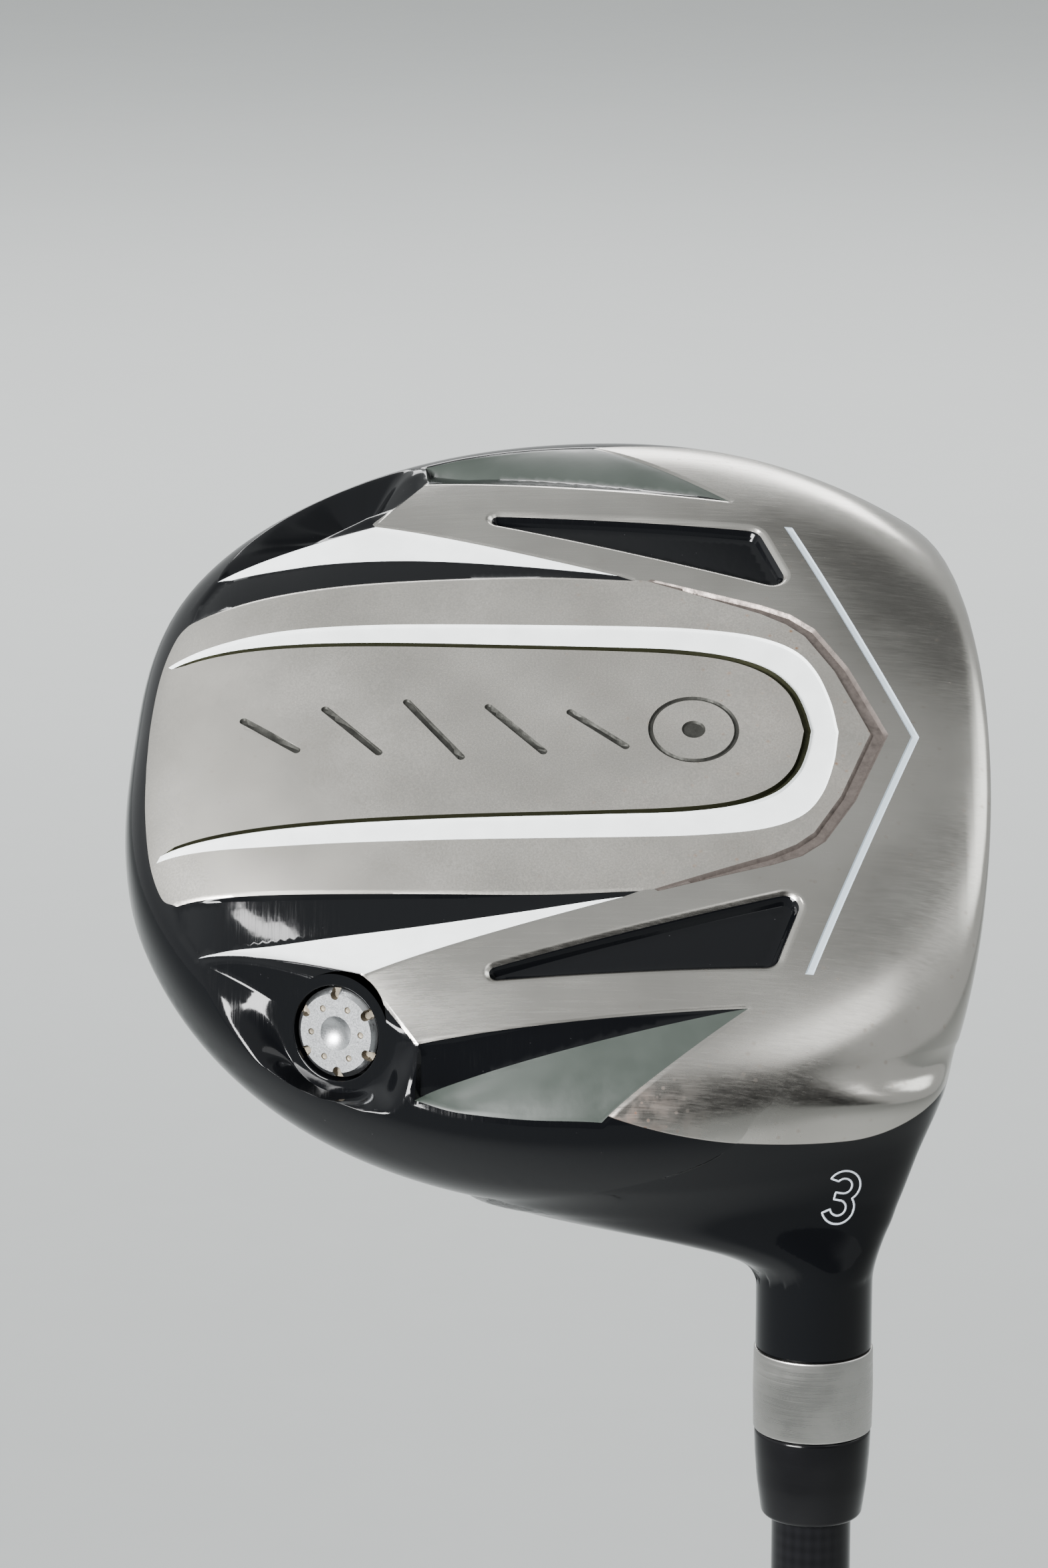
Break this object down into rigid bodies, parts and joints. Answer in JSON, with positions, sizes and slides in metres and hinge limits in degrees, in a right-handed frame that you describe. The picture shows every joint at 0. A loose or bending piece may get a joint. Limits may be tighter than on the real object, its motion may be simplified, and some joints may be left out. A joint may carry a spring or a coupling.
{
  "type": "fairway wood",
  "caption": "Right-handed fairway wood with a steel head, painted sole recesses, a removable weight screw, a black ferrule with a silver collar, a graphite shaft and a rubber grip.",
  "frame": {"origin": "centre of the butt end's flat face, on the shaft axis", "axes": "+Z along the shaft from the butt to the head, +X the way the face looks, -Y the side that the sole looks to"},
  "size_m": [0.0953, 0.1004, 1.1328],
  "materials": {
    "cast_steel": "satin and polished bare steel",
    "face_steel": "brushed bare steel",
    "black_gloss": "gloss black paint",
    "weight_aluminium": "satin machined aluminium",
    "black_rubber": "matte rubber",
    "plug_foam": "foam",
    "epoxy": "set epoxy",
    "hot_melt": "hot-melt glue",
    "collar_steel": "turned and brushed steel",
    "ferrule_plastic": "polished black plastic",
    "shaft_graphite": "lacquered black graphite composite",
    "tape_paper": "creped paper tape",
    "grip_rubber": "textured matte rubber",
    "white_enamel": "gloss white enamel",
    "pale_blue_enamel": "pale blue-grey enamel",
    "black_enamel": "gloss black enamel",
    "grey_enamel": "satin grey-green enamel",
    "numeral_enamel": "white enamel"
  },
  "bodies": {
    "club": {"head_body": "cast_steel", "crown": "black_gloss", "face_plate": "face_steel", "weight_port": "black_gloss", "hosel_plug": "plug_foam", "tip_epoxy": "epoxy", "rattle_glue": "hot_melt", "hosel_collar": "collar_steel", "ferrule": "ferrule_plastic", "shaft": "shaft_graphite", "grip_tape": "tape_paper", "grip": "grip_rubber", "grip_cap": "grip_rubber", "channel_enamel": "white_enamel", "chevron_enamel": "pale_blue_enamel", "toe_white_enamel": "white_enamel", "heel_white_enamel": "white_enamel", "toe_black_enamel": "black_enamel", "heel_black_enamel": "black_enamel", "toe_pocket_enamel": "black_enamel", "heel_pocket_enamel": "black_enamel", "toe_scoop_enamel": "black_enamel", "heel_scoop_enamel": "black_enamel", "toe_grey_enamel": "grey_enamel", "heel_grey_enamel": "grey_enamel", "numeral_enamel": "numeral_enamel"},
    "weight_slide": {"weight_washer": "black_rubber"},
    "weight": {"weight_screw": "weight_aluminium"}
  },
  "joints": [
    {"name": "weight_travel", "type": "slide", "parent": "club", "child": "weight_slide", "axis": [-0.4619, -0.8851, 0.0571], "range_m": [0, 0.009]},
    {"name": "weight_turn", "type": "hinge", "parent": "weight_slide", "child": "weight", "pos_m": [-0.051, -0.00147, 1.0827], "axis": [-0.4619, -0.8851, 0.0571], "range_deg": [0, 2161]}
  ],
  "couplings": [
    {"joint": "weight_turn", "follows": "weight_travel", "rad_per_m": 4188.8}
  ]
}
